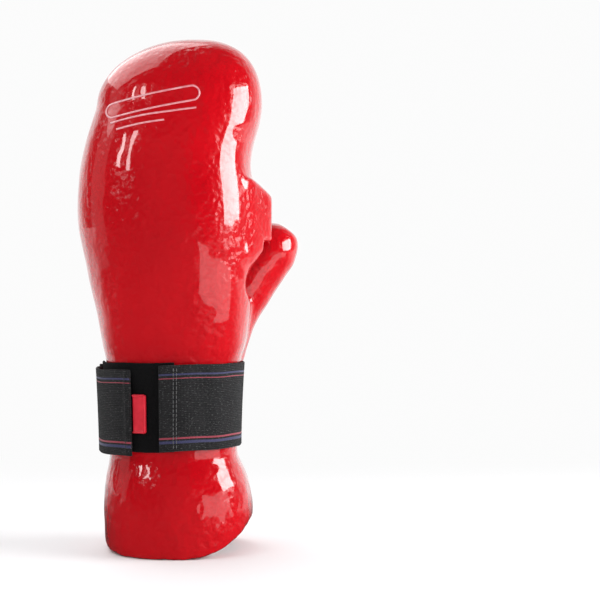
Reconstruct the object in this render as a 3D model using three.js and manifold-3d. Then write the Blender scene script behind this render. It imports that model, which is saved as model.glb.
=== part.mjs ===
// Left-hand foam sparring glove with an open palm, in millimetres.
// +Z points up towards the fingertips, -Y is the back of the hand, +X is the thumb side.
// The origin is under the middle of the glove, at the rim of the cuff it stands on.
import * as THREE from 'three';
import { mergeVertices } from 'three/addons/utils/BufferGeometryUtils.js';
import Module from 'manifold-3d';

const wasm = await Module();
wasm.setup();

// ---------- driving dimensions ----------

const foam = 12;            // thickness of the foam shell
const gap = 0.5;            // clearance between pieces that touch
const lining = 1.8;         // thickness of the fabric lining
const gloveTop = 303;       // highest point of the fingertip dome
const domeBase = 263;       // height where the fingertip dome starts
const apex = { x: 11, y: -4 };

// Outer sections of the shell: height, little-finger side, thumb side, back of hand, palm side.
const sections = [
  [0, -43, 45.5, -43, 38],
  [26, -44, 44.5, -42.5, 38],
  [42, -43, 41.5, -40.5, 37],
  [51, -41.4, 37.6, -37.4, 34.8],
  [56, -40.6, 35.3, -35.6, 33.6],
  [113, -43, 37.4, -37, 34.6],
  [118, -44.4, 39.4, -38.8, 35.2],
  [127, -46, 41.5, -41, 36.5],
  [141, -48.5, 43.5, -43, 38],
  [155, -52, 45, -45, 38],
  [170, -55, 45.5, -46.5, 38],
  [189, -59, 46, -48, 38],
  [204, -60, 46.5, -48, 38],
  [218, -59.2, 45, -47.5, 37],
  [228, -58, 43.5, -47, 36],
  [240, -55.5, 45, -46, 34.5],
  [252, -52, 48.5, -44, 33],
  [domeBase, -48.5, 50.5, -41.5, 31],
];

const squareness = { little: 2.1, thumb: 2.5 };   // superellipse exponents of the two sides
const domeRound = { little: 2, thumb: 2.5, back: 2, palm: 2 };

const strap = { width: 49.5, thick: 2 };
const wrapLow = 61;         // lower edge of the strap where it is sewn on
const flapLow = 58.6;       // lower edge of its free end
const pile = { thick: 1.6, from: -82, to: 3, low: 60.5, high: 112 };
const fixedEnd = -5.5;      // angle where the strap starts on the back of the hand, in degrees
const strapHinge = -98;     // angle of the fold line of the strap's free end
const freeEdge = -27.3;     // angle of the strap's free edge
const hook = { thick: 1.2, from: -74, to: -31, low: 63, high: 104 };
const tab = { length: 8, thick: 2, low: 71.5, high: 94 };

const fingerFold = { y: -47, z: 228, opening: 15.5 };   // fold line across the fingers
const thumbFold = { x: 41.5, z: 118, lean: 62, swing: 20 };   // fold line at the root of the thumb

// Centre line and radius of the thumb's foam channel: x, y, z, radius.
const thumbLine = [
  [28.5, 12, 108, 9],
  [29, 14, 120, 12],
  [30.5, 17, 138, 16.5],
  [36.5, 20, 154, 19],
  [46.5, 22, 170, 19],
  [54, 23, 182, 17.5],
  [59, 24, 190, 12.5],
  [61.5, 24.5, 194, 6],
];
const thumbWall = 8.5;
const thumbMouth = { x: -0.4, y: 0.92 };   // direction in which the channel is open

const fingerLoopSize = { halfWidth: 8.1, halfDepth: 9, low: 244, height: 14 };
const fingers = {
  little: { x: -26.9, y: -4 },
  ring: { x: -10.3, y: -14.5 },
  middle: { x: 6.3, y: -14.5 },
  index: { x: 22.9, y: -5 },
};
const thumbLoopAt = { x: 42, y: 21, z: 163 };

const palmBandSize = { thick: 2, low: 198, high: 222 };
const palmBandPath = [[-38.6, -13], [-41.2, 2], [-34, 17], [-18, 26], [0, 28.5], [15, 25], [25, 15], [28, 2],
  [26, -13]];

// ---------- solids ----------

function toSolid(geometry) {
  const bare = geometry.clone();
  bare.deleteAttribute('normal');
  bare.deleteAttribute('uv');
  const merged = mergeVertices(bare, 1e-4);
  return new wasm.Manifold(new wasm.Mesh({
    numProp: 3,
    vertProperties: new Float32Array(merged.attributes.position.array),
    triVerts: new Uint32Array(merged.index.array),
  }));
}

function toGeometry(solid) {
  const mesh = solid.getMesh();
  const geometry = new THREE.BufferGeometry();
  geometry.setAttribute('position', new THREE.BufferAttribute(new Float32Array(mesh.vertProperties), 3));
  geometry.setIndex(new THREE.BufferAttribute(new Uint32Array(mesh.triVerts), 1));
  geometry.computeVertexNormals();
  return geometry;
}

// Skins a stack of rings that all have the same number of points, and closes both ends.
function skin(rings) {
  const count = rings[0].length;
  const positions = rings.flat().flatMap((p) => [p.x, p.y, p.z]);
  const index = [];
  for (let row = 0; row < rings.length - 1; row++) {
    for (let i = 0; i < count; i++) {
      const a = row * count + i;
      const b = row * count + (i + 1) % count;
      index.push(a, b, b + count);
      index.push(a, b + count, a + count);
    }
  }
  for (const [row, flip] of [[0, true], [rings.length - 1, false]]) {
    const centre = positions.length / 3;
    const middle = rings[row].reduce((sum, p) => sum.add(p), new THREE.Vector3()).divideScalar(count);
    positions.push(middle.x, middle.y, middle.z);
    for (let i = 0; i < count; i++) {
      const a = row * count + i;
      const b = row * count + (i + 1) % count;
      index.push(...(flip ? [b, a, centre] : [a, b, centre]));
    }
  }
  const geometry = new THREE.BufferGeometry();
  geometry.setAttribute('position', new THREE.Float32BufferAttribute(positions, 3));
  geometry.setIndex(index);
  return geometry;
}

// A flat outline in two axes, pushed along the third. plane 'xz' runs along Y, 'xy' along Z.
function prism(points, from, to, plane = 'xy') {
  const shape = new THREE.Shape(points.map(([u, v]) => new THREE.Vector2(u, v)));
  const geometry = new THREE.ExtrudeGeometry(shape, { depth: to - from, bevelEnabled: false });
  if (plane === 'xz') {
    geometry.rotateX(Math.PI / 2);
    geometry.translate(0, to, 0);
  } else {
    geometry.translate(0, 0, from);
  }
  return toSolid(geometry);
}

// A smooth outline through a few corner points.
function smoothOutline(corners, count) {
  const curve = new THREE.CatmullRomCurve3(
    corners.map(([u, v]) => new THREE.Vector3(u, v, 0)), true, 'catmullrom', 0.5);
  return curve.getPoints(count).slice(0, -1).map((p) => [p.x, p.y]);
}

// ---------- the shell's sections ----------

const radians = THREE.MathUtils.degToRad;

// Smooth interpolation of the section table at one height.
function tableAt(z) {
  const last = sections.length - 1;
  let i = 0;
  while (i < last - 1 && z > sections[i + 1][0]) i++;
  const [a, b] = [sections[i], sections[i + 1]];
  const before = sections[Math.max(i - 1, 0)];
  const after = sections[Math.min(i + 2, last)];
  const t = THREE.MathUtils.clamp((z - a[0]) / (b[0] - a[0]), 0, 1);
  return [1, 2, 3, 4].map((k) => {
    const step = b[0] - a[0];
    const slopeA = i > 0 ? (b[k] - before[k]) / (b[0] - before[0]) * step : b[k] - a[k];
    const slopeB = i + 1 < last ? (after[k] - a[k]) / (after[0] - a[0]) * step : b[k] - a[k];
    const flat = a[k] === b[k] ? 0 : 1;
    const [t2, t3] = [t * t, t * t * t];
    return a[k] * (2 * t3 - 3 * t2 + 1) + slopeA * flat * (t3 - 2 * t2 + t)
      + b[k] * (3 * t2 - 2 * t3) + slopeB * flat * (t3 - t2);
  });
}

// The section at a height, moved inwards by a distance.
function sectionAt(z, inset) {
  let [little, thumb, back, palm] = tableAt(Math.min(z, domeBase));
  little += inset;
  thumb -= inset;
  back += inset;
  palm -= inset;
  let middle = (little + thumb) / 2;
  let spine = 0;
  if (z > domeBase) {
    const height = Math.min((z - domeBase) / (gloveTop - inset - domeBase), 1);
    const shrink = (power) => Math.pow(Math.max(1 - Math.pow(height, power), 0), 1 / power);
    const lean = 1 - shrink(2);
    little = apex.x + (little - apex.x) * shrink(domeRound.little);
    thumb = apex.x + (thumb - apex.x) * shrink(domeRound.thumb);
    back = apex.y + (back - apex.y) * shrink(domeRound.back);
    palm = apex.y + (palm - apex.y) * shrink(domeRound.palm);
    middle += (apex.x - middle) * lean;
    spine = apex.y * lean;
  }
  return { little, thumb, back, palm, middle, spine };
}

// A point of the section. Angle 0 is the back of the hand, 90 the thumb side, 180 the palm.
function sectionPoint(z, degrees, inset) {
  const s = sectionAt(z, inset);
  const angle = radians(degrees);
  const [sine, cosine] = [Math.sin(angle), Math.cos(angle)];
  const power = 2 / (sine > 0 ? squareness.thumb : squareness.little);
  const across = Math.sign(sine) * Math.pow(Math.abs(sine), power);
  const deep = Math.sign(cosine) * Math.pow(Math.abs(cosine), power);
  const x = s.middle + across * (sine > 0 ? s.thumb - s.middle : s.middle - s.little);
  const y = s.spine + deep * (cosine > 0 ? s.back - s.spine : s.spine - s.palm);
  return new THREE.Vector3(x, y, z);
}

const ringStep = 10;
const bodyRows = [0, 13, 26, 42, 51, 56, 70, 84, 98, 113, 118, 127, 141, 155, 170, 189, 204, 218, 228, 240, 252, 263];
const domeRows = [0.3, 0.56, 0.77, 0.9, 0.97];

// The whole mitten form, inset by a distance, between two heights.
function mitten(inset, lowest, highest) {
  const top = gloveTop - inset;
  const rows = [...bodyRows, ...domeRows.map((part) => domeBase + part * (top - domeBase)), top - 0.02];
  const heights = [lowest, ...rows.filter((z) => z > lowest + 2 && z < highest - 2), Math.min(highest, top - 0.02)];
  const rings = heights.map((z) => {
    const ring = [];
    for (let degrees = 0; degrees < 360; degrees += ringStep) {
      ring.push(sectionPoint(z, degrees, inset));
    }
    return ring;
  });
  return toSolid(skin(rings));
}

// ---------- foam shell ----------

const far = 200;

// The cuff's rim: flat in the middle, rising towards both sides.
function rimCutter() {
  return prism([[-60, -20], [60, -20], [60, 34], [45, 20], [38, 11.5], [28, 4.5], [18, 1], [10, 0],
    [-32, 0], [-39, 1.5], [-44, 4.5], [-60, 16]].map(([x, z]) => [x, z]), -far, far, 'xz');
}

// The open palm, from the fingertip cup down to the slit in the cuff.
function palmCutter() {
  const outline = smoothOutline([[0, 251], [27, 246], [36, 226], [37, 196], [36, 160], [27, 128], [15, 104],
    [13, 60], [17, -20], [-17, -20], [-13, 60], [-17, 104], [-33, 132], [-42, 165], [-46, 200],
    [-42, 232], [-28, 248]], 60);
  return prism(outline, 2, far, 'xz');
}

// The flap that covers the side of the index knuckle, with its cut edge turned to the front.
function knuckleFlap() {
  const plan = [[30, -34], [38, -29], [46, -20.5], [57, -9], [54, 1], [44, 3], [34, -6], [30, -20]];
  const block = prism(plan, 170, 222);
  const outline = [[20, 170], [50, 170], [56, 179.5], [57.5, 195], [58, 209], [53, 213], [46, 219], [20, 222]];
  return block.intersect(prism(outline, -far, far, 'xz'));
}

// The slot between the flap and the thumb.
function thumbSlot() {
  const outline = smoothOutline([[56, 180.5], [47, 171], [41.5, 161], [42, 151.5], [46, 148], [56, 150],
    [66, 166], [66, 180]], 26);
  return prism(outline, -30, 70, 'xz');
}

// A tube along the thumb's line, thicker by extra. It runs up to a share of the line, and its
// side towards the palm can be pulled out by a distance to cut the channel's mouth.
function thumbForm(extra, share = 1, mouth = 0) {
  const line = new THREE.CatmullRomCurve3(thumbLine.map(([x, y, z]) => new THREE.Vector3(x, y, z)));
  const open = new THREE.Vector3(thumbMouth.x, thumbMouth.y, 0);
  const rings = [];
  const steps = 14;
  const sides = 24;
  for (let i = 0; i <= steps; i++) {
    const t = i / steps * share;
    const centre = line.getPoint(t);
    const along = line.getTangent(t);
    const sideways = new THREE.Vector3(0, 1, 0).cross(along).normalize();
    const forward = along.clone().cross(sideways).normalize();
    const place = t * (thumbLine.length - 1);
    const k = Math.min(Math.floor(place), thumbLine.length - 2);
    const radius = THREE.MathUtils.lerp(thumbLine[k][3], thumbLine[k + 1][3], place - k) + extra;
    const ring = [];
    for (let j = 0; j < sides; j++) {
      const angle = (j + 0.5) / sides * 2 * Math.PI;
      const out = new THREE.Vector3()
        .addScaledVector(sideways, Math.cos(angle) * radius)
        .addScaledVector(forward, Math.sin(angle) * radius);
      if (out.dot(open) > 0) out.addScaledVector(open, mouth);
      ring.push(out.add(centre));
    }
    rings.push(ring);
  }
  return toSolid(skin(rings));
}

// Everything beyond the thumb's fold line, tilted by an angle in degrees.
function beyondThumbFold(tilt) {
  const box = new THREE.BoxGeometry(far, far, far);
  box.translate(0, 0, far / 2);
  box.rotateY(radians(90 - thumbFold.lean + tilt));
  box.translate(thumbFold.x, 0, thumbFold.z);
  return toSolid(box);
}

// Everything beyond the fingers' fold line, tilted by an angle in degrees.
function beyondFingerFold(tilt) {
  const box = new THREE.BoxGeometry(far, 2 * far, far);
  box.translate(0, 0, far / 2);
  box.rotateX(radians(tilt));
  box.translate(0, fingerFold.y, fingerFold.z);
  return toSolid(box);
}

const form = mitten(0, 0, far * 2);
const hollow = mitten(foam, -20, far * 2);
const wholeShell = form.add(knuckleFlap()).subtract(hollow)
  .subtract(palmCutter()).subtract(rimCutter()).subtract(thumbSlot());

// The side wall is open between the index finger and the thumb, behind the slot.
function thumbWeb() {
  return prism([[30, 150], [36, 146], [60, 148], [60, 182], [40, 184], [30, 180]], -8, 40, 'xz');
}

// Everything that the thumb passes through as it swings outwards round its fold line.
function thumbSweep() {
  const swingStep = 2.5;
  let sweep = thumbForm(gap);
  for (let degrees = swingStep; degrees <= thumbFold.swing + 1; degrees += swingStep) {
    sweep = sweep.add(thumbForm(gap)
      .translate(-thumbFold.x, 0, -thumbFold.z).rotate([0, degrees, 0])
      .translate(thumbFold.x, 0, thumbFold.z));
  }
  return sweep.intersect(beyondThumbFold(-1));
}

function handShell() {
  return wholeShell
    .subtract(beyondFingerFold(-0.4))
    .subtract(thumbWeb())
    .subtract(thumbSweep());
}

function fingerShell() {
  return wholeShell.intersect(beyondFingerFold(fingerFold.opening));
}

// Foam channel of the thumb, open along the side that faces the palm.
function thumbShell() {
  const channel = thumbForm(-thumbWall, 0.8, 40);
  return thumbForm(0).subtract(channel).intersect(beyondThumbFold(0.6));
}

// ---------- linings ----------

// Fabric skin glued to the inside of the shell, between two heights, on the back and the sides.
function liningBetween(low, high) {
  const openSide = prism([[-far, 0], [far, 0], [far, far], [-far, far]], -far, far * 2);
  return mitten(foam + gap, low, high).subtract(mitten(foam + gap + lining, low - 5, high + 5))
    .subtract(openSide);
}

function handLining() {
  return liningBetween(22, 224).subtract(thumbForm(2.5 * gap)).subtract(thumbSlot());
}

function fingerLining() {
  return liningBetween(230, far * 2).intersect(beyondFingerFold(fingerFold.opening + 1.5));
}

// ---------- bands of webbing and elastic ----------

// A solid whose flat outline changes with height. Every outline has the same number of points.
function layered(outlineAt, low, high, rows = 4) {
  const outlines = Array.from({ length: rows }, (_, i) => outlineAt(THREE.MathUtils.lerp(low, high, i / (rows - 1))));
  const count = outlines[0].length;
  const positions = outlines.flat().flatMap((p) => [p.x, p.y, p.z]);
  const index = [];
  for (let row = 0; row < rows - 1; row++) {
    for (let i = 0; i < count; i++) {
      const a = row * count + i;
      const b = row * count + (i + 1) % count;
      index.push(a, b, b + count, a, b + count, a + count);
    }
  }
  const flat = outlines[0].map((p) => new THREE.Vector2(p.x, p.y));
  const top = (rows - 1) * count;
  for (const [a, b, c] of THREE.ShapeUtils.triangulateShape(flat, [])) {
    index.push(c, b, a, a + top, b + top, c + top);
  }
  const geometry = new THREE.BufferGeometry();
  geometry.setAttribute('position', new THREE.Float32BufferAttribute(positions, 3));
  geometry.setIndex(index);
  return toSolid(geometry);
}

// A strip bent round the wrist: angles in degrees, distance outside the foam.
function wristBand(from, to, inner, thick, low, high, step = 5) {
  const count = Math.ceil((to - from) / step);
  const angles = Array.from({ length: count + 1 }, (_, i) => from + (to - from) * i / count);
  const side = (z, extra) => angles.map((degrees) => sectionPoint(z, degrees, -(inner(degrees) + extra)));
  return layered((z) => [...side(z, thick), ...side(z, 0).reverse()], low, high);
}

const level = (distance) => () => distance;
const pileTop = gap + pile.thick;
const hookInner = pileTop + gap;
const flapInner = hookInner + hook.thick + gap;

// The strap lies on the pile strip at its sewn end, on the foam round the back of the wrist,
// and rises to the outer layer where its free end starts.
function wrapInner(degrees) {
  const settle = THREE.MathUtils.smoothstep(degrees, pile.to + 1, pile.to + 26);
  const rise = THREE.MathUtils.smoothstep(degrees, 195, 255);
  return THREE.MathUtils.lerp(pileTop + gap, gap, settle) + (flapInner - gap) * rise;
}

const strapWrap = () => wristBand(fixedEnd, 360 + strapHinge - 0.6, wrapInner, strap.thick,
  wrapLow, wrapLow + strap.width);
const strapFlap = () => wristBand(strapHinge + 0.6, freeEdge, level(flapInner), strap.thick,
  flapLow, flapLow + strap.width);
const pileStrip = () => wristBand(pile.from, pile.to, level(gap), pile.thick, pile.low, pile.high);
const hookPatch = () => wristBand(hook.from, hook.to, level(hookInner), hook.thick, hook.low, hook.high);

const degreesPerMillimetre = 1.36;   // round the wrist at the front
function pullTab() {
  const start = freeEdge + 0.8;
  return wristBand(start, start + tab.length * degreesPerMillimetre, level(hookInner + gap), tab.thick,
    tab.low, tab.high, 3);
}

// A strip of even thickness along a flat path, standing up along Z.
function standingStrip(path, thick, low, high, closed = false) {
  const curve = new THREE.CatmullRomCurve3(path.map(([x, y]) => new THREE.Vector3(x, y, 0)), closed);
  const steps = 28;
  const side = (shift) => Array.from({ length: steps + 1 }, (_, i) => {
    const t = i / steps;
    const p = curve.getPointAt(t);
    const along = curve.getTangentAt(t);
    return [p.x + along.y * shift, p.y - along.x * shift];
  });
  return prism([...side(thick / 2), ...side(-thick / 2).reverse()], low, high);
}

function palmBand() {
  return standingStrip(palmBandPath, palmBandSize.thick, palmBandSize.low, palmBandSize.high);
}

function palmBandPatch(side) {
  const x = side < 0 ? palmBandPath[0][0] + 2.3 : palmBandPath.at(-1)[0] - 2.3;
  return prism([[x - 0.7, -13], [x + 0.7, -13], [x + 0.7, -2], [x - 0.7, -2]],
    palmBandSize.low + 2, palmBandSize.high - 2);
}

// An upright oval loop of elastic.
function ovalLoop(halfWidth, halfDepth, thick, height) {
  const outer = new THREE.Shape().absellipse(0, 0, halfWidth, halfDepth, 0, 2 * Math.PI);
  outer.holes.push(new THREE.Path().absellipse(0, 0, halfWidth - thick, halfDepth - thick, 0, 2 * Math.PI));
  const geometry = new THREE.ExtrudeGeometry(outer, { depth: height, bevelEnabled: false, curveSegments: 10 });
  return geometry;
}

function fingerLoop(finger) {
  const geometry = ovalLoop(fingerLoopSize.halfWidth, fingerLoopSize.halfDepth, 1.4, fingerLoopSize.height);
  geometry.translate(finger.x, finger.y, fingerLoopSize.low);
  return toSolid(geometry);
}

function fingerLoopAnchor() {
  const angles = Array.from({ length: 21 }, (_, i) => -50 + i * 5);
  const z = fingerLoopSize.low + fingerLoopSize.height / 2;
  const edge = (inset) => angles.map((degrees) => {
    const p = sectionPoint(z, degrees, inset);
    return [p.x, p.y];
  });
  const inset = foam + lining + 7 * gap;
  return prism([...edge(inset), ...edge(inset + 1.2).reverse()],
    fingerLoopSize.low + 1, fingerLoopSize.low + fingerLoopSize.height - 1);
}

function thumbLoop() {
  const geometry = ovalLoop(9.2, 9.2, 1.4, 12);
  geometry.translate(0, 0, -6);
  geometry.rotateY(radians(33));
  geometry.translate(thumbLoopAt.x, thumbLoopAt.y, thumbLoopAt.z);
  return toSolid(geometry);
}

// ---------- the assembly ----------

const palette = {
  vinyl: { color: 0xc8001a, roughness: 0.12, metalness: 0 },
  elastic: { color: 0x1c1c1e, roughness: 0.9, metalness: 0 },
  fabric: { color: 0x141414, roughness: 0.95, metalness: 0 },
  hookAndLoop: { color: 0x0d0d0e, roughness: 1, metalness: 0 },
  redRubber: { color: 0xe0202a, roughness: 0.4, metalness: 0 },
};

const glove = new THREE.Group();

function place(name, solid, finish) {
  const geometry = solid.isBufferGeometry ? solid : toGeometry(solid);
  const mesh = new THREE.Mesh(geometry, new THREE.MeshStandardMaterial(palette[finish]));
  mesh.name = name;
  glove.add(mesh);
}

place('hand_shell', handShell(), 'vinyl');
place('finger_shell', fingerShell(), 'vinyl');
place('thumb_shell', thumbShell(), 'vinyl');
place('hand_lining', handLining(), 'fabric');
place('finger_lining', fingerLining(), 'fabric');
for (const [name, finger] of Object.entries(fingers)) {
  place(`${name}_finger_loop`, fingerLoop(finger), 'elastic');
}
place('finger_loop_anchor', fingerLoopAnchor(), 'fabric');
place('thumb_loop', thumbLoop(), 'elastic');
place('palm_band', palmBand(), 'elastic');
place('palm_band_patch_little', palmBandPatch(-1), 'fabric');
place('palm_band_patch_thumb', palmBandPatch(1), 'fabric');
place('pile_strip', pileStrip(), 'hookAndLoop');
place('strap_wrap', strapWrap(), 'elastic');
place('strap_flap', strapFlap(), 'elastic');
place('hook_patch', hookPatch(), 'hookAndLoop');
place('pull_tab', pullTab(), 'redRubber');

// The origin goes under the middle of the whole glove.
const whole = new THREE.Box3().setFromObject(glove, true);
const middle = whole.getCenter(new THREE.Vector3());
glove.position.set(-middle.x, -middle.y, -whole.min.z);
glove.updateMatrixWorld(true);

export default glove;
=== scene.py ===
"""Looks of a left-hand dipped-foam sparring glove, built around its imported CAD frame.

Shapes are worked out in millimetres in the glove's own wrist frame, where x = y = 0 is the middle of
the wrist section, and are moved into the CAD frame when a piece is made.
"""
import math

import bmesh
import bpy
import numpy as np
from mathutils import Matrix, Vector, noise
from mathutils.bvhtree import BVHTree


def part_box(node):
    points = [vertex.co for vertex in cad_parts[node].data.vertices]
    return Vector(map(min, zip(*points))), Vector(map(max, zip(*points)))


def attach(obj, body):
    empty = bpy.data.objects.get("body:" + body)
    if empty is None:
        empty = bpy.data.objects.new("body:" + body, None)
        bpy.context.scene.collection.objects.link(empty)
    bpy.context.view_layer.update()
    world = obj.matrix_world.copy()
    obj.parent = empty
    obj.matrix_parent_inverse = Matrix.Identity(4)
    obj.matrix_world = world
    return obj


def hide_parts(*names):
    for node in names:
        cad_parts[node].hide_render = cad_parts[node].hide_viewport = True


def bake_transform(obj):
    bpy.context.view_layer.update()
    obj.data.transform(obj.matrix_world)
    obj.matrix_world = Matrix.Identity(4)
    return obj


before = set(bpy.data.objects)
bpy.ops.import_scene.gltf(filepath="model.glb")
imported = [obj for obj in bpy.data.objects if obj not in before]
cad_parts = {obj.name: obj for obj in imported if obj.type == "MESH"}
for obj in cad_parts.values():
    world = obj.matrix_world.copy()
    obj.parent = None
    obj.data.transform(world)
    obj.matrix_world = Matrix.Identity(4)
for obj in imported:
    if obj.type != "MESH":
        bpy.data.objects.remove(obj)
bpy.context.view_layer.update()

MM = 0.001
UP = Vector((0, 0, 1))

# ---------- driving dimensions, in millimetres ----------

FOAM = 12.0
GLOVE_TOP = 303.0
DOME_BASE = 263.0
APEX = (11.0, -4.0)
SQUARENESS = {"little": 2.1, "thumb": 2.5}
DOME_ROUND = {"little": 2.0, "thumb": 2.5, "back": 2.0, "palm": 2.0}
ROW_STEP = 5  # millimetres between the form's rows
RING_STEP = 5  # degrees between the points of a row

# Outer sections: height, little-finger side, thumb side, back of hand, palm side.
SECTIONS = [
    (0, -43, 45.5, -43, 38),
    (26, -44, 44.5, -42.5, 38),
    (42, -43, 41.5, -40.5, 37),
    (51, -41.4, 37.6, -37.4, 34.8),
    (56, -40.6, 35.3, -35.6, 33.6),
    (113, -43, 37.4, -37, 34.6),
    (118, -44.4, 39.4, -38.8, 35.2),
    (127, -46, 41.5, -41, 36.5),
    (141, -48.5, 43.5, -43, 38),
    (155, -52, 45, -45, 38),
    (170, -55, 45.5, -46.5, 38),
    (189, -59, 46, -48, 38),
    (204, -60, 46.5, -48, 38),
    (218, -59.2, 45, -47.5, 37),
    (228, -58, 43.5, -47, 36),
    (240, -55.5, 45, -46, 34.5),
    (252, -52, 48.5, -44, 33),
    (DOME_BASE, -48.5, 50.5, -41.5, 31),
]

# Centre line and radius of the thumb's foam channel: x, y, z, radius.
THUMB_LINE = [
    (28.5, 12, 108, 9),
    (29, 14, 120, 12),
    (30.5, 17, 138, 16.5),
    (36.5, 20, 154, 19),
    (46.5, 22, 170, 19),
    (56, 23, 181, 17.5),
    (62, 24, 187.5, 13),
    (65, 24.5, 191.5, 6.5),
]
THUMB_RINGS = 40
THUMB_SIDES = 48
THUMB_WALL = 8.5  # foam round the thumb
THUMB_CLEAR = 4.5  # room between the thumb and the wall beside it
THUMB_MOUTH = Vector((-0.4, 0.92, 0))  # the way that the thumb's channel opens

# The wrist frame's origin in the CAD frame: the shell reaches 60 mm to the little finger's side
# and 48 mm to the back of the hand.
shell_low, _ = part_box("hand_shell")
ORIGIN = Vector((shell_low.x + 60 * MM, shell_low.y + 48 * MM, 0))


def to_frame(point):
    return Vector(point) * MM + ORIGIN


# ---------- mesh helpers ----------

def add_to_scene(name, data):
    thing = bpy.data.objects.new(name, data)
    bpy.context.scene.collection.objects.link(thing)
    return thing


def new_object(name, points, faces):
    """A mesh object from points in millimetres of the wrist frame."""
    mesh = bpy.data.meshes.new(name)
    mesh.from_pydata([to_frame(p) for p in points], [], faces)
    mesh.update()
    return add_to_scene(name, mesh)


def smooth_object(name, points, faces):
    """A smoothly shaded mesh object with all its faces turned outwards."""
    thing = new_object(name, points, faces)
    fix_normals(thing)
    thing.data.shade_smooth()
    return thing


def ring_faces(rows, count, base=0, closed=False):
    """Quads between neighbouring rings of count points, numbered from base."""
    faces = []
    for row in range(rows if closed else rows - 1):
        a, b = base + row * count, base + (row + 1) % rows * count
        for i in range(count):
            n = (i + 1) % count
            faces.append((a + i, a + n, b + n, b + i))
    return faces


def tube_faces(rows, count, base=0):
    """The faces of a stack of rings with flat ends."""
    last = base + (rows - 1) * count
    ends = [tuple(reversed(range(base, base + count))), tuple(range(last, last + count))]
    return ring_faces(rows, count, base) + ends


def slab_faces(rows, columns):
    """The faces of two layers of points, rows + 1 by columns + 1, joined round their rim."""
    stride = columns + 1
    size = (rows + 1) * stride
    faces = []
    for i in range(rows):
        for j in range(columns):
            a = i * stride + j
            faces.append((a, a + 1, a + 1 + stride, a + stride))
            faces.append((size + a + stride, size + a + 1 + stride, size + a + 1, size + a))
    rim = ([(i, 0) for i in range(rows)] + [(rows, j) for j in range(columns)]
           + [(i, columns) for i in range(rows, 0, -1)] + [(0, j) for j in range(columns, 0, -1)])
    around = [i * stride + j for i, j in rim]
    for a, b in zip(around, around[1:] + around[:1]):
        faces.append((a, b, size + b, size + a))
    return faces


def skin_rings(name, rings):
    """Skins a stack of closed rings with the same number of points."""
    return new_object(name, [p for ring in rings for p in ring], tube_faces(len(rings), len(rings[0])))


def prism(name, outline, low, high, plane="xy"):
    """A flat outline pushed along Z, or along Y for plane 'xz'."""
    if plane == "xz":
        return skin_rings(name, [[(u, y, v) for u, v in outline] for y in (high, low)])
    return skin_rings(name, [[(u, v, z) for u, v in outline] for z in (low, high)])


def bake_modifiers(thing):
    """Replaces the object's mesh by its evaluated mesh."""
    bpy.context.view_layer.update()
    graph = bpy.context.evaluated_depsgraph_get()
    mesh = bpy.data.meshes.new_from_object(thing.evaluated_get(graph))
    old = thing.data
    thing.modifiers.clear()
    thing.data = mesh
    bpy.data.meshes.remove(old)
    return thing


def remove(thing):
    mesh = thing.data
    bpy.data.objects.remove(thing)
    bpy.data.meshes.remove(mesh)


def combine(thing, tool, operation):
    """Joins or cuts with another closed mesh, which is used up."""
    fix_normals(tool)
    modifier = thing.modifiers.new("join", "BOOLEAN")
    modifier.operation = operation
    modifier.solver = "EXACT"
    modifier.object = tool
    bake_modifiers(thing)
    remove(tool)
    return thing


def fix_normals(thing):
    work = bmesh.new()
    work.from_mesh(thing.data)
    bmesh.ops.recalc_face_normals(work, faces=work.faces)
    work.to_mesh(thing.data)
    work.free()


def curve_point(corners, place, closed=False):
    """The point of a smooth curve through corner points, at a place counted in corners."""
    total = len(corners)
    i = min(int(place), total - 1 if closed else total - 2)
    t = place - i
    if closed:
        a, b, c, d = (corners[(i + s) % total] for s in (-1, 0, 1, 2))
    else:
        a, b, c, d = (corners[min(max(i + s, 0), total - 1)] for s in (-1, 0, 1, 2))
    return 0.5 * (2 * b + (c - a) * t + (2 * a - 5 * b + 4 * c - d) * t * t
                  + (3 * b - a - 3 * c + d) * t ** 3)


def catmull(corners, count, closed=True):
    """Even steps along a smooth curve through a few corner points."""
    corners = [Vector(p) for p in corners]
    spans, steps = (len(corners), count) if closed else (len(corners) - 1, count - 1)
    return [curve_point(corners, k / steps * spans, closed) for k in range(count)]


# ---------- sections of the glove ----------

def table_at(z):
    """Smooth interpolation of the section table at one height."""
    last = len(SECTIONS) - 1
    i = 0
    while i < last - 1 and z > SECTIONS[i + 1][0]:
        i += 1
    a, b = SECTIONS[i], SECTIONS[i + 1]
    before, after = SECTIONS[max(i - 1, 0)], SECTIONS[min(i + 2, last)]
    step = b[0] - a[0]
    t = min(max((z - a[0]) / step, 0), 1)
    values = []
    for k in range(1, 5):
        slope_a = (b[k] - before[k]) / (b[0] - before[0]) * step if i > 0 else b[k] - a[k]
        slope_b = (after[k] - a[k]) / (after[0] - a[0]) * step if i + 1 < last else b[k] - a[k]
        flat = 0 if a[k] == b[k] else 1
        values.append(a[k] * (2 * t ** 3 - 3 * t * t + 1) + slope_a * flat * (t ** 3 - 2 * t * t + t)
                      + b[k] * (3 * t * t - 2 * t ** 3) + slope_b * flat * (t ** 3 - t * t))
    return values


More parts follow.
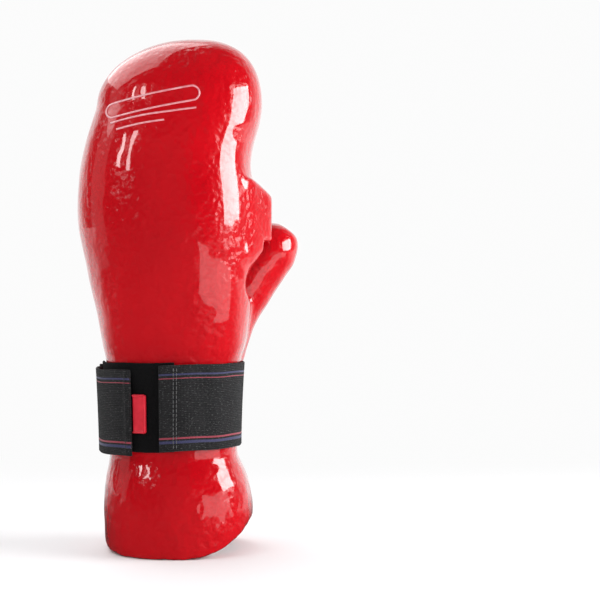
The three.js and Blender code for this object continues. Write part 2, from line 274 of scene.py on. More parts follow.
def section_at(z, inset):
    """Sides, middle and spine of the section at a height, moved inwards by a distance."""
    little, thumb, back, palm = table_at(min(z, DOME_BASE))
    little, thumb, back, palm = little + inset, thumb - inset, back + inset, palm - inset
    middle, spine = (little + thumb) / 2, 0.0
    if z > DOME_BASE:
        height = min((z - DOME_BASE) / (GLOVE_TOP - inset - DOME_BASE), 1)

        def close_in(value, apex, power):
            return apex + (value - apex) * max(1 - height ** power, 0) ** (1 / power)

        little = close_in(little, APEX[0], DOME_ROUND["little"])
        thumb = close_in(thumb, APEX[0], DOME_ROUND["thumb"])
        back = close_in(back, APEX[1], DOME_ROUND["back"])
        palm = close_in(palm, APEX[1], DOME_ROUND["palm"])
        middle = close_in(middle, APEX[0], 2)
        spine = close_in(spine, APEX[1], 2)
    return little, thumb, back, palm, middle, spine


def section_point(z, degrees, inset):
    """A point of the section: angle 0 is the back of the hand, 90 the thumb side, 180 the palm."""
    little, thumb, back, palm, middle, spine = section_at(z, inset)
    sine, cosine = math.sin(math.radians(degrees)), math.cos(math.radians(degrees))
    power = 2 / (SQUARENESS["thumb"] if sine > 0 else SQUARENESS["little"])
    across = math.copysign(abs(sine) ** power, sine)
    deep = math.copysign(abs(cosine) ** power, cosine)
    x = middle + across * (thumb - middle if sine > 0 else middle - little)
    y = spine + deep * (back - spine if cosine > 0 else spine - palm)
    return Vector((x, y, z))


def mitten(name, inset, lowest):
    """The whole closed mitten form, inset by a distance, from a height up to its top."""
    top = GLOVE_TOP - inset
    heights = np.arange(lowest, DOME_BASE, ROW_STEP).tolist()
    heights += [DOME_BASE + math.sin(math.radians(a)) * (top - DOME_BASE) for a in range(0, 88, 6)]
    heights.append(top - 0.01)
    heights = [z for i, z in enumerate(heights) if i == 0 or z - heights[i - 1] > 0.005]
    angles = range(0, 360, RING_STEP)
    return skin_rings(name, [[section_point(z, degrees, inset) for degrees in angles] for z in heights])


# ---------- the foam shell ----------

FAR = 200.0  # well outside the glove, for cutters that pass right through


# Cuts seen from the front: outline as x and height, points of a smooth curve through it or 0 for
# straight sides, and the range along Y.
CUTS = {
    "palm": ([(0, 251), (27, 246), (36, 226), (37, 196), (36, 160), (27, 128), (15, 104), (13, 60),
              (17, -20), (-17, -20), (-13, 60), (-17, 104), (-33, 132), (-42, 165), (-46, 200),
              (-42, 232), (-28, 248)], 120, 2, FAR),
    "cuff_rim": ([(-60, -20), (60, -20), (60, 34), (45, 20), (38, 11.5), (28, 4.5), (18, 1), (10, 0),
                  (-32, 0), (-39, 1.5), (-44, 4.5), (-60, 16)], 0, -FAR, FAR),
    "thumb_slot": ([(56, 180.5), (47, 171), (41.5, 161), (42, 151.5), (46, 148), (56, 150), (66, 166),
                    (66, 180)], 60, -30, 70),
    "wall_behind_slot": ([(30, 150), (36, 146), (60, 148), (60, 182), (40, 184), (30, 180)], 0, -8, 40),
}


def knuckle_flap():
    """The thick corner of foam that guards the index knuckle above the thumb."""
    plan = [(30, -33), (37, -30), (42, -25), (46, -19.5), (50.5, -11.5), (55.5, -3), (57, 0.5),
            (54, 2.5), (44, 3), (34, -6), (30, -20)]
    side = [(20, 170), (50, 170), (56, 179.5), (57.5, 195), (58, 209), (53, 213), (46, 219), (20, 222)]
    flap = prism("flap", plan, 170, 222)
    return combine(flap, prism("flap_side", side, -FAR, FAR, "xz"), "INTERSECT")


def thumb_form(name, extra, share=1.0, mouth=0.0):
    """A tube along the thumb's line, thicker by extra, with its palm side pulled out by mouth."""
    last = len(THUMB_LINE) - 1
    centres = [Vector(p[:3]) for p in THUMB_LINE]

    def on_line(t):
        place = min(t * last, last - 1e-6)
        i = int(place)
        radius = THUMB_LINE[i][3] + (THUMB_LINE[i + 1][3] - THUMB_LINE[i][3]) * (place - i)
        return curve_point(centres, place), radius

    rings = []
    for i in range(THUMB_RINGS + 1):
        t = i / THUMB_RINGS * share
        centre, radius = on_line(t)
        along = (on_line(min(t + 0.01, 1))[0] - on_line(max(t - 0.01, 0))[0]).normalized()
        sideways = Vector((0, 1, 0)).cross(along).normalized()
        forward = along.cross(sideways).normalized()
        ring = []
        for j in range(THUMB_SIDES):
            angle = (j + 0.5) / THUMB_SIDES * 2 * math.pi
            out = (sideways * math.cos(angle) + forward * math.sin(angle)) * max(radius + extra, 0.8)
            if out.dot(THUMB_MOUTH) > 0:
                out = out + THUMB_MOUTH * mouth
            ring.append(centre + out)
        rings.append(ring)
    return skin_rings(name, rings)


def thumb_room():
    """Keeps the upper thumb clear of the wall beside it, so that it can swing away."""
    room = thumb_form("thumb_room", THUMB_CLEAR)
    outline = [(0, 160), (46, 156), (100, 140), (100, 240), (0, 240)]
    return combine(room, prism("above_root", outline, -FAR, FAR, "xz"), "INTERSECT")


def remesh(thing):
    """Even small quads all over, with the cut edges rounded by smoothing."""
    voxels = thing.modifiers.new("voxels", "REMESH")
    voxels.mode = "VOXEL"
    voxels.voxel_size = VOXEL * MM
    soften = thing.modifiers.new("soften", "SMOOTH")
    soften.factor = 0.5
    soften.iterations = SMOOTHING
    return bake_modifiers(thing)


def drop_crumbs(thing):
    """Deletes the few loose specks that the cuts and the remesh leave behind."""
    work = bmesh.new()
    work.from_mesh(thing.data)
    seen, crumbs = set(), []
    for vert in work.verts:
        if vert in seen:
            continue
        island, waiting = {vert}, [vert]
        while waiting:
            for edge in waiting.pop().link_edges:
                fresh = [v for v in edge.verts if v not in island]
                island.update(fresh)
                waiting += fresh
        seen |= island
        if len(island) < CRUMB:
            crumbs += island
    bmesh.ops.delete(work, geom=crumbs, context="VERTS")
    work.to_mesh(thing.data)
    work.free()


VOXEL = 1.5  # size of the remeshed quads
SMOOTHING = 14  # passes that round the cut edges
CRUMB = 200  # a loose bit with fewer points than this is a crumb
CUFF_TOP = 60.0  # below this height the dipped skin has coarse vertical wrinkles
WRINKLE = 0.22  # depth of those wrinkles
RIPPLE = 0.10  # depth of the gentle ripples all over the skin


def push_out(thing, depth_at):
    """Moves every vertex along its normal by a depth in millimetres that depends on its place."""
    mesh = thing.data
    places = [v.co.copy() for v in mesh.vertices]
    normals = [v.normal.copy() for v in mesh.vertices]
    moved = [place + normal * depth_at((place - ORIGIN) / MM) * MM
             for place, normal in zip(places, normals)]
    mesh.vertices.foreach_set("co", np.array(moved, np.float32).ravel())
    mesh.update()
    return thing


def ripple(thing):
    """Moves the skin in and out a little, as a dipped coat dries over foam."""
    def depth_at(place):
        depth = RIPPLE * noise.noise(Vector((place.x / 8, place.y / 8, place.z / 11)))
        on_cuff = min(max((CUFF_TOP - place.z) / 15, 0), 1)
        wrinkles = noise.noise(Vector((place.x / 3.2, place.y / 3.2, place.z / 6.5)))
        return depth + WRINKLE * on_cuff * wrinkles

    return push_out(thing, depth_at)


def whole_shell():
    """Hand, fingertip cup and thumb channel as the one moulding that the real shell is."""
    shell = mitten("foam_shell", 0, 0)
    fix_normals(shell)
    combine(shell, knuckle_flap(), "UNION")
    combine(shell, mitten("hollow", FOAM, -20), "DIFFERENCE")
    for name, (corners, smooth, low, high) in CUTS.items():
        outline = catmull(corners, smooth) if smooth else corners
        combine(shell, prism(name, outline, low, high, "xz"), "DIFFERENCE")
    combine(shell, thumb_room(), "DIFFERENCE")
    combine(shell, thumb_form("thumb", 0), "UNION")
    combine(shell, thumb_form("thumb_hollow", -THUMB_WALL, 0.8, 40), "DIFFERENCE")
    remesh(shell)
    drop_crumbs(shell)
    return ripple(shell)


FINGER_CUT = 207.0  # the moulding is in two pieces above and below this height
FINGER_BEND = (212.0, 244.0)  # heights of the fingers' fold; bend_with_fingers reads them but bends nothing
THUMB_CUT = Vector((46, 20, 149.5))  # a point of the cut at the thumb's root
THUMB_AXIS = Vector((0.447, 0, 0.894))
THUMB_BEND = (2.0, 40.0)  # distances past the cut that mark the thumb's fold; bend_with_thumb reads them but bends nothing
THUMB_TIP = Vector((61.5, 24.5, 196))
HAND_PART, FINGER_PART, THUMB_PART, CAP = 0, 1, 2, 3


def thumb_side(face):
    """How far a face is past the cut at the thumb's root; below zero away from the thumb."""
    place = (face.calc_center_median() - ORIGIN) / MM
    if place.x < 14 or place.y < -3:
        return -1
    return (place - THUMB_CUT).dot(THUMB_AXIS)


def mark_parts(work, part):
    """Marks each face: above the finger cut, reached from the thumb's tip, or of the hand."""
    for face in work.faces:
        height = (face.calc_center_median().z - ORIGIN.z) / MM
        face[part] = FINGER_PART if height > FINGER_CUT else HAND_PART
    tip = to_frame(THUMB_TIP)
    first = min(work.faces, key=lambda face: (face.calc_center_median() - tip).length)
    first[part] = THUMB_PART
    waiting = [first]
    while waiting:
        face = waiting.pop()
        for edge in face.edges:
            for other in edge.link_faces:
                if other[part] == HAND_PART and thumb_side(other) > 0:
                    other[part] = THUMB_PART
                    waiting.append(other)


def take_part(work, wanted, name):
    """A closed piece of the moulding, with the normals of the whole at its cut edges."""
    piece = work.copy()
    part = piece.faces.layers.int["part"]
    kept_normal = piece.verts.layers.float_vector["whole_normal"]
    bmesh.ops.delete(piece, geom=[f for f in piece.faces if f[part] != wanted], context="FACES")
    rims = {True: [], False: []}
    for edge in piece.edges:
        if edge.is_boundary:
            height = (edge.verts[0].co.z + edge.verts[1].co.z) / 2 - ORIGIN.z
            rims[abs(height - FINGER_CUT * MM) < 0.1 * MM].append(edge)
    for rim in rims.values():
        if rim:
            made = bmesh.ops.triangle_fill(piece, use_beauty=True, use_dissolve=False, edges=rim)
            for face in made["geom"]:
                if isinstance(face, bmesh.types.BMFace):
                    face[part] = CAP
    bmesh.ops.recalc_face_normals(piece, faces=piece.faces)
    mesh = bpy.data.meshes.new(name)
    normals = []
    for face in piece.faces:
        face.smooth = True
        face.normal_update()
        for loop in face.loops:
            normals.append(face.normal.copy() if face[part] == CAP
                           else Vector(loop.vert[kept_normal]).normalized())
    piece.to_mesh(mesh)
    piece.free()
    mesh.normals_split_custom_set(normals)
    for layer in ("part", "whole_normal"):
        mesh.attributes.remove(mesh.attributes[layer])
    return add_to_scene(name, mesh)


def split_shell(shell):
    """The moulding as hand, fingers and thumb pieces, cut apart at the finger and thumb folds."""
    work = bmesh.new()
    work.from_mesh(shell.data)
    bmesh.ops.bisect_plane(work, geom=work.verts[:] + work.edges[:] + work.faces[:], dist=1e-6,
                           plane_co=to_frame((0, 0, FINGER_CUT)), plane_no=(0, 0, 1))
    near = [f for f in work.faces if thumb_side(f) > -8]
    around = list({e for f in near for e in f.edges}) + list({v for f in near for v in f.verts})
    bmesh.ops.bisect_plane(work, geom=near + around, dist=1e-6,
                           plane_co=to_frame(THUMB_CUT), plane_no=THUMB_AXIS)
    work.normal_update()
    part = work.faces.layers.int.new("part")
    kept_normal = work.verts.layers.float_vector.new("whole_normal")
    for vert in work.verts:
        vert[kept_normal] = vert.normal
    mark_parts(work, part)
    pieces = [take_part(work, wanted, name) for wanted, name in
              ((HAND_PART, "foam_hand"), (FINGER_PART, "foam_fingers"), (THUMB_PART, "foam_thumb"))]
    work.free()
    return pieces


def bend_with_fingers(piece):
    low, high = FINGER_BEND
    to_frame((0, 0, low))
    to_frame((0, 0, high))
    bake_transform(piece)


def bend_with_thumb(piece):
    first, last = (THUMB_CUT + THUMB_AXIS * distance for distance in THUMB_BEND)
    to_frame(first)
    to_frame(last)
    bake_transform(piece)


# ---------- bands, loops and stitches ----------

EDGE_ROUND = 0.7  # radius of a band's edges
END_TAPER = (0.35, 0.8)  # how full a band is at its last two steps
STITCH = {"length": 2.0, "radius": 0.22, "share": 0.78, "pitch": 2.5, "margin": 1.5,
          "rings": 5, "sides": 6}


def steady(value):
    """A measure that is the same at every angle."""
    return lambda degrees: value


def add_weave_map(thing, coordinates):
    """Stores each vertex's place in the cloth, along and across in metres, for the weave."""
    layer = thing.data.uv_layers.new(name="weave")
    for loop in thing.data.loops:
        layer.data[loop.index].uv = coordinates[loop.vertex_index]


def row_heights(width, pitch):
    """Heights across a band, closer together at its rounded edges."""
    edge = [0, 0.12, 0.35, 0.7]
    middle = np.arange(1.2, width - 1.15, pitch).tolist()
    return edge + middle + [width - h for h in reversed(edge)]


def rounded(height, width):
    """How full a band is at a height: 1 in the middle, falling to 0 round its edges."""
    inward = min(height, width - height) / EDGE_ROUND
    return 1.0 if inward >= 1 else math.sqrt(max(1 - (1 - inward) ** 2, 0.0))


def band_from_rows(name, places, width, pitch=0.5, rib=0.0, closed=False, stripes=()):
    """Sweeps a band along places: the point at a height and depth, the length so far, the thickness.

    The outer face has a rib every two rows. Rows inside a stripe take that stripe's material.
    """
    heights = row_heights(width, pitch)
    ring = []
    for k, height in enumerate(heights):
        full = rounded(height, width)
        ring.append((height, 0.5 * full, rib * full * (1 if k % 2 else -1)))
    ring += [(height, -0.5 * rounded(height, width), 0.0) for height in reversed(heights)]
    total, steps = len(ring), len(places)
    points, weave = [], []
    for i, (at, along, thickness) in enumerate(places):
        from_end = min(i, steps - 1 - i)
        taper = END_TAPER[from_end] if from_end < len(END_TAPER) and not closed else 1.0
        for height, share, relief in ring:
            points.append(at(height, share * taper * thickness + relief * taper))
            weave.append((along * MM, height * MM))
    faces = ring_faces(steps, total, closed=closed)
    row_materials = []
    for k in range(total):
        height = (ring[k][0] + ring[(k + 1) % total][0]) / 2
        inward = min(height, width - height)
        row_materials.append(next((s + 1 for s, (first, last) in enumerate(stripes)
                                   if first <= inward <= last), 0))
    materials = row_materials * (len(faces) // total)
    if not closed:
        for base in (0, (steps - 1) * total):
            for k in range(len(heights) - 1):
                faces.append((base + k, base + k + 1, base + total - 2 - k, base + total - 1 - k))
                materials.append(0)
    band = smooth_object(name, points, faces)
    band.data.polygons.foreach_set("material_index", materials)
    add_weave_map(band, weave)
    return band


def wrist_places(start, end, inner, thick, low, step=1.5):
    """Steps round the wrist for band_from_rows; inner gives the distance from the foam."""
    count = max(int(abs(end - start) / step), 8)
    angles = [start + (end - start) * t / count for t in range(count + 1)]
    edge = 0.25 * (end - start) / abs(end - start)
    angles = [angles[0], angles[0] + edge] + angles[1:-1] + [angles[-1] - edge, angles[-1]]
    places, along, last = [], 0.0, None
    for degrees in angles:
        def at(height, depth, degrees=degrees):
            outward = inner(degrees) + thick(degrees) / 2 + depth
            return section_point(low(degrees) + height, degrees, -outward)

        middle = at(20, 0)
        along += (middle - last).length if last else 0.0
        last = middle
        places.append((at, along, thick(degrees)))
    return places


def tangent(path, i, closed):
    """The way that a path runs at one of its points."""
    count = len(path)
    ahead = path[(i + 1) % count] if closed else path[min(i + 1, count - 1)]
    behind = path[i - 1] if closed else path[max(i - 1, 0)]
    return ahead - behind


def path_band(name, path, size, rib=0.0, up=UP, closed=False):
    """A band along a path of points, with its width along up."""
    places, along = [], 0.0
    for i, point in enumerate(path):
        out = tangent(path, i, closed).cross(up).normalized()
        along += (point - path[i - 1]).length if i else 0.0

        def at(height, depth, point=point, out=out):
            return point + up * (size["low"] + height) + out * depth

        places.append((at, along, size["thick"]))
    return band_from_rows(name, places, size["height"], rib=rib, closed=closed)


def stitch_row(name, points, outs):
    """Raised thread stitches along a line of points, each an arched thread with fine ends."""
    radius, rings, sides = STITCH["radius"], STITCH["rings"], STITCH["sides"]
    thread_points, faces = [], []
    for a, b, out in zip(points, points[1:], outs):
        along = (b - a).normalized()
        across = along.cross(out).normalized()
        span = min((b - a).length * STITCH["share"], STITCH["length"])
        faces += tube_faces(rings, sides, len(thread_points))
        for r in range(rings):
            t = r / (rings - 1)
            arch = math.sin(math.pi * t)
            thick = radius * (0.45 + 0.55 * arch)
            centre = (a + b) / 2 + along * (t - 0.5) * span + out * radius * 0.9 * arch
            for s in range(sides):
                turn = 2 * math.pi * s / sides
                thread_points.append(centre + (across * math.cos(turn) + out * math.sin(turn)) * thick)
    return smooth_object(name, thread_points, faces)


# ---------- the wrist strap ----------

GAP = 0.5
STRAP_WIDTH = 49.5
STRAP_THICK = 2.0
WRAP_LOW = 61.0
FLAP_LOW = 58.6
FIXED_END = -5.5
STRAP_HINGE = -98.0
FREE_EDGE = -27.3
PILE = {"thick": 1.6, "from": -82.0, "to": 3.0, "low": 60.5, "high": 112.0,
        "step": 1.2, "pitch": 0.7, "fuzz": 0.12, "grain": 0.8}
HOOK = {"thick": 1.2, "from": -74.0, "to": -31.0, "low": 63.0, "high": 104.0,
        "step": 1.0, "pitch": 0.6, "fuzz": 0.15, "grain": 0.6}
TAB = {"length": 8.0, "thick": 2.0, "low": 71.5, "high": 94.0, "rim": 1.3, "rise": 0.8, "corner": 1.6,
       "rows": 26, "columns": 60}
PILE_TOP = GAP + PILE["thick"]
HOOK_INNER = PILE_TOP + GAP
FLAP_INNER = HOOK_INNER + HOOK["thick"] + GAP
DEGREES_PER_MM = 1.36  # round the wrist at the free end
DEGREES_PER_MM_SEWN = 1.02  # and at the sewn end, where the section is flatter
HEM_FIXED = 8.5  # width of the hem at the sewn end
HEM_FREE = 4.0  # width of the hem at the free end
STRIPES = ((4.9, 6.0), (7.4, 7.95))  # navy and red threads, from the nearer edge


def smoothstep(value, low, high):
    t = min(max((value - low) / (high - low), 0), 1)
    return t * t * (3 - 2 * t)


def wrap_inner(degrees):
    settle = smoothstep(degrees, PILE["to"] + 1, PILE["to"] + 26)
    rise = smoothstep(degrees, 195, 255)
    return PILE_TOP + GAP + (GAP - PILE_TOP - GAP) * settle + (FLAP_INNER - GAP) * rise


def wavy(low, tilt=0.0):
    """The height of a strap's lower edge round the wrist: nearly level, with a slight wave."""
    return lambda degrees: (low + 0.35 * math.sin(math.radians(degrees * 2.3 + 40))
                            + 0.2 * math.sin(math.radians(degrees * 7.1))
                            + tilt * math.sin(math.radians(degrees)))


wrap_low = wavy(WRAP_LOW, 0.9)
flap_low = wavy(FLAP_LOW)


def fixed_hem(degrees):
    """The strap's thickness, folded under and sewn down over its first few millimetres."""
    past = (degrees - FIXED_END) / DEGREES_PER_MM_SEWN
    return STRAP_THICK + 0.45 * (1 - smoothstep(past, HEM_FIXED - 0.8, HEM_FIXED + 0.4))


def free_hem(degrees):
    past = (FREE_EDGE - degrees) / DEGREES_PER_MM
    return STRAP_THICK + 0.5 * (1 - smoothstep(past, HEM_FREE - 0.6, HEM_FREE + 0.4))


def band_stitches(name, degrees, inner, thickness, low):
    """A line of stitches across the strap at one angle."""
    span = STRAP_WIDTH - 2 * STITCH["margin"]
    count = int(span / STITCH["pitch"])
    points, outs = [], []
    for i in range(count + 1):
        z = low(degrees) + STITCH["margin"] + span * i / count
        outer = section_point(z, degrees, -(inner(degrees) + thickness - 0.05))
        inside = section_point(z, degrees, -(inner(degrees) - 2))
        points.append(outer)
        outs.append((outer - inside).normalized())
    return stitch_row(name, points, outs)


def strap(name, start, end, inner, hem, low):
    places = wrist_places(start, end, inner, hem, low)
    return band_from_rows(name, places, STRAP_WIDTH, rib=0.05, stripes=STRIPES)


def tape(name, size, inner, low):
    """A strip of hook or loop tape under the strap's free end, with a roughened face."""
    places = wrist_places(size["from"], size["to"], steady(inner), steady(size["thick"]), low,
                          size["step"])
    band = band_from_rows(name, places, size["high"] - size["low"], size["pitch"])
    return push_out(band, lambda place: size["fuzz"] * noise.noise(place / size["grain"]))


def pull_tab():
    """A small moulded tab with a raised rim round its three free sides."""
    width, height = TAB["length"], TAB["high"] - TAB["low"]

    def rise(u, v):
        edge = min((1 - u) * width, v * height, (1 - v) * height)
        lip = smoothstep(edge, 0, 0.5) * (1 - smoothstep(edge, TAB["rim"] - 0.4, TAB["rim"] + 0.2))
        return TAB["thick"] - TAB["rise"] * (1 - lip) - 0.5 * (1 - smoothstep(edge, 0, 0.5))

    def squeeze(u, v):
        """Rounds the two outer corners."""
        corner = TAB["corner"]
        short = max(corner - min(v, 1 - v) * height, 0)
        return u * (1 - (corner - math.sqrt(corner ** 2 - short ** 2)) / width)

    points = []
    for layer in (1, 0):
        for i in range(TAB["rows"] + 1):
            for j in range(TAB["columns"] + 1):
                u, v = i / TAB["rows"], j / TAB["columns"]
                degrees = FREE_EDGE + 0.8 + squeeze(u, v) * width * DEGREES_PER_MM
                depth = rise(u, v) if layer else 0.0
                z = TAB["low"] + v * height
                points.append(section_point(z, degrees, -(HOOK_INNER + GAP + depth)))
    return smooth_object("pull_tab_rubber", points, slab_faces(TAB["rows"], TAB["columns"]))


# ---------- inside: linings, finger loops, thumb loop and palm band ----------

LINING_INSET = 12.5
LINING_THICK = 1.8
LINING = {"half_turn": 78.0, "radius": 32.0, "rows": 56, "columns": 60}
FINGER_LOOPS = {"little": (-26.9, -4.0), "ring": (-10.3, -14.5), "middle": (6.3, -14.5),
                "index": (22.9, -5.0)}
FINGER_LOOP = {"half_width": 8.1, "half_depth": 9.0, "low": 244.0, "height": 14.0, "thick": 1.4}
OVAL_POINTS = 56
LOOP_ANCHOR = {"low": 245.0, "height": 12.0, "thick": 1.2}
THUMB_LOOP = {"centre": Vector((42, 21, 163)), "half_width": 9.2, "half_depth": 9.2, "low": -6.0,
              "height": 12.0, "thick": 1.4, "tilt": 33.0}
PALM_BAND = {"low": 198.0, "height": 24.0, "thick": 2.0}
PALM_PATCH = {"low": 200.0, "height": 20.0, "thick": 1.4}
PALM_PATH = [(-38.6, -13), (-41.2, 2), (-34, 17), (-18, 26), (0, 28.5), (15, 25), (25, 15), (28, 2),
             (26, -13)]


def oval_path(size):
    """The middle line of an oval loop, slightly flattened where elastic is sewn to its neighbour."""
    path = []
    for i in range(OVAL_POINTS):
        turn = 2 * math.pi * i / OVAL_POINTS
        across = (size["half_width"] - size["thick"] / 2) * math.cos(turn)
        deep = (size["half_depth"] - size["thick"] / 2) * math.sin(turn)
        path.append(Vector((across * (1 - 0.03 * math.cos(2 * turn)), deep, 0)))
    return path


def finger_loop(name):
    middle = Vector((*FINGER_LOOPS[name], 0))
    path = [p + middle for p in oval_path(FINGER_LOOP)]
    return path_band(f"{name}_loop_elastic", path, FINGER_LOOP, 0.04, closed=True)


def thumb_loop():
    lean = math.radians(THUMB_LOOP["tilt"])
    up = Vector((math.sin(lean), 0, math.cos(lean)))
    side = Vector((math.cos(lean), 0, -math.sin(lean)))
    path = [THUMB_LOOP["centre"] + side * p.x + Vector((0, p.y, 0)) for p in oval_path(THUMB_LOOP)]
    return path_band("thumb_loop_elastic", path, THUMB_LOOP, 0.04, up, closed=True)


def palm_band():
    path = catmull([(x, y, 0) for x, y in PALM_PATH], 90, closed=False)
    return path_band("palm_band_elastic", path, PALM_BAND, 0.05)


def palm_patch(name, end, inward):
    """The patch that holds one end of the palm band to the inside of the shell."""
    path = [Vector((end[0] + inward, end[1] + 11 * i / 12, 0)) for i in range(13)]
    return path_band(name, path, PALM_PATCH)


def loop_anchor():
    """The strip that the finger loops are sewn to, along the back of the fingers."""
    middle = LOOP_ANCHOR["low"] + LOOP_ANCHOR["height"] / 2
    inset = FOAM + LINING_THICK + 7 * GAP + 0.6
    path = [section_point(middle, -50 + 100 * i / 60, inset) for i in range(61)]
    return path_band("finger_loop_anchor_tape", [Vector((p.x, p.y, 0)) for p in path], LOOP_ANCHOR)


def lining(name, low, high):
    """A fabric lining along the inside of the back of the hand, edged by a rolled hem."""
    rows, columns = LINING["rows"], LINING["columns"]
    points, weave = [], []
    for inside, hem in ((LINING_INSET, 0.25), (LINING_INSET + LINING_THICK, -0.25)):
        for i in range(rows + 1):
            z = low + (high - low) * i / rows
            for j in range(columns + 1):
                degrees = LINING["half_turn"] * (2 * j / columns - 1)
                pinch = hem * max(0, 2 - min(i, rows - i, j, columns - j))
                points.append(section_point(z, degrees, inside + pinch))
                weave.append((math.radians(degrees) * LINING["radius"] * MM, z * MM))
    cloth = smooth_object(name, points, slab_faces(rows, columns))
    add_weave_map(cloth, weave)
    return cloth


# ---------- printed bars on the fingers ----------

PRINT = {"width": 1.0, "raised": 0.10, "sunk": 0.25}
BAR = {"start": (-35, 257), "end": (11.5, 266), "half": 4.2}
UPPER_LINE = [(-36, 249.5), (-18, 253), (0, 255.5), (14, 257.5)]
LOWER_LINE = [(-32, 245.5), (-18, 248.3), (-4, 250.3)]


def surface_tree(thing):
    """A search tree of an object's surface, for rays."""
    mesh = thing.data
    return BVHTree.FromPolygons([v.co for v in mesh.vertices], [p.vertices for p in mesh.polygons])


def bar_outline():
    """The outline of the printed bar with its round ends, as x and height."""
    a, b, half = Vector(BAR["start"]), Vector(BAR["end"]), BAR["half"]
    turn = math.atan2(b.y - a.y, b.x - a.x)
    points = []
    for centre, other, first in ((b, a, -90), (a, b, 90)):
        for i in range(9):
            angle = turn + math.radians(first + 22.5 * i)
            points.append(centre + Vector((math.cos(angle), math.sin(angle))) * half)
        side = Vector((-math.sin(turn), math.cos(turn))) * math.copysign(half, -first)
        points += [centre.lerp(other, i / 6) + side for i in range(1, 6)]
    return points


def print_line(name, surface, corners, closed=False):
    """A thin raised line of print lying on a surface, through points given as x and height."""
    path = catmull([(x, 0, z) for x, z in corners], (6 if closed else 14) * len(corners), closed)
    top, bottom = [], []
    count = len(path)
    for i, point in enumerate(path):
        along = tangent(path, i, closed).normalized()
        across = Vector((-along.z, 0, along.x)) * PRINT["width"] / 2
        for side in (-1, 1):
            start = to_frame((point + across * side) + Vector((0, -FAR, 0)))
            place, normal, _, _ = surface.ray_cast(start, Vector((0, 1, 0)))
            place = (place - ORIGIN) / MM
            top.append(place + normal * PRINT["raised"])
            bottom.append(place - normal * PRINT["sunk"])
    size = 2 * count
    faces = []
    for i in range(count if closed else count - 1):
        a, b = 2 * i, 2 * ((i + 1) % count)
        faces += [(a, a + 1, b + 1, b), (size + b, size + b + 1, size + a + 1, size + a),
                  (a, b, size + b, size + a), (b + 1, a + 1, size + a + 1, size + b + 1)]
    if not closed:
        last = size - 2
        faces += [(0, size, size + 1, 1), (last, last + 1, size + last + 1, size + last)]
    return smooth_object(name, top + bottom, faces)


def dress(piece, slot, *materials, body=None, node=None):
    """Gives a piece its materials and its body, and hides the CAD node that it stands for. The slot is
    not used.
    """
    rows = [face.material_index for face in piece.data.polygons]
    piece.data.materials.clear()
    for material in materials:
        piece.data.materials.append(material)
    piece.data.polygons.foreach_set("material_index", rows)
    if body:
        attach(piece, body)
    if node:
        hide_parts(node)
    return piece


# ---------- materials ----------

class Nodes:
    """Short ways to add and link the nodes of a tree."""

    def __init__(self, tree):
        self.tree = tree

    def new(self, kind, **values):
        node = self.tree.nodes.new(kind)
        for name, value in values.items():
            node.inputs[name.replace("_", " ")].default_value = value
        return node

    def link(self, source, target):
        self.tree.links.new(source, target)

    def feed(self, node, *values):
        """Links or sets a node's first inputs, in order."""
        for socket, value in zip(node.inputs, values):
            if isinstance(value, bpy.types.NodeSocket):
                self.link(value, socket)
            else:
                socket.default_value = value
        return node

    def math(self, operation, *values):
        node = self.new("ShaderNodeMath")
        node.operation = operation
        return self.feed(node, *values).outputs["Value"]

    def fade(self, value, low, high, start=0.0, end=1.0):
        """A smooth change from start to end while a value goes from low to high."""
        node = self.new("ShaderNodeMapRange", From_Min=low, From_Max=high, To_Min=start, To_Max=end)
        node.interpolation_type = "SMOOTHSTEP"
        return self.feed(node, value).outputs["Result"]

    def mix_shaders(self, share, first, second):
        return self.feed(self.new("ShaderNodeMixShader"), share, first, second).outputs["Shader"]

    def place(self, scale=(1, 1, 1), weave=False):
        """Coordinates on the object in metres, or along and across a woven band."""
        node = self.new("ShaderNodeMapping", Scale=scale)
        source = self.new("ShaderNodeUVMap" if weave else "ShaderNodeTexCoord")
        if weave:
            source.uv_map = "weave"
        return self.feed(node, source.outputs["UV" if weave else "Object"]).outputs["Vector"]

    def noise(self, vector, scale, detail=2.0, rough=0.5):
        node = self.new("ShaderNodeTexNoise", Scale=scale, Detail=detail, Roughness=rough)
        return self.feed(node, vector).outputs["Fac"]

    def wave(self, vector, scale, direction):
        """Parallel threads; scale counts threads in a metre."""
        node = self.new("ShaderNodeTexWave", Scale=scale * 0.314159, Distortion=0.6, Detail=1,
                        Detail_Scale=3)
        node.bands_direction = direction
        return self.feed(node, vector).outputs["Fac"]

    def ramp(self, factor, *stops):
        node = self.new("ShaderNodeValToRGB")
        for element, (position, color) in zip(node.color_ramp.elements, stops):
            element.position = position
            element.color = (*color, 1)
        return self.feed(node, factor).outputs["Color"]


class Surface(Nodes):
    """A node material round its Principled shader."""

    def __init__(self, name, color, roughness):
        self.material = bpy.data.materials.new(name)
        self.material.use_nodes = True
        super().__init__(self.material.node_tree)
        self.principled = self.tree.nodes["Principled BSDF"]
        self.set(Base_Color=(*color, 1), Roughness=roughness)

    def set(self, **values):
        for name, value in values.items():
            self.principled.inputs[name.replace("_", " ")].default_value = value
        return self.material

    def color(self, socket):
        self.link(socket, self.principled.inputs["Base Color"])

    def bump(self, *layers):
        """Bumps on top of each other, each of a height and a depth in metres."""
        normal = None
        for height, depth in layers:
            node = self.new("ShaderNodeBump", Strength=1.0, Distance=depth)
            self.link(height, node.inputs["Height"])
            if normal:
                self.link(normal, node.inputs["Normal"])
            normal = node.outputs["Normal"]
        self.link(normal, self.principled.inputs["Normal"])


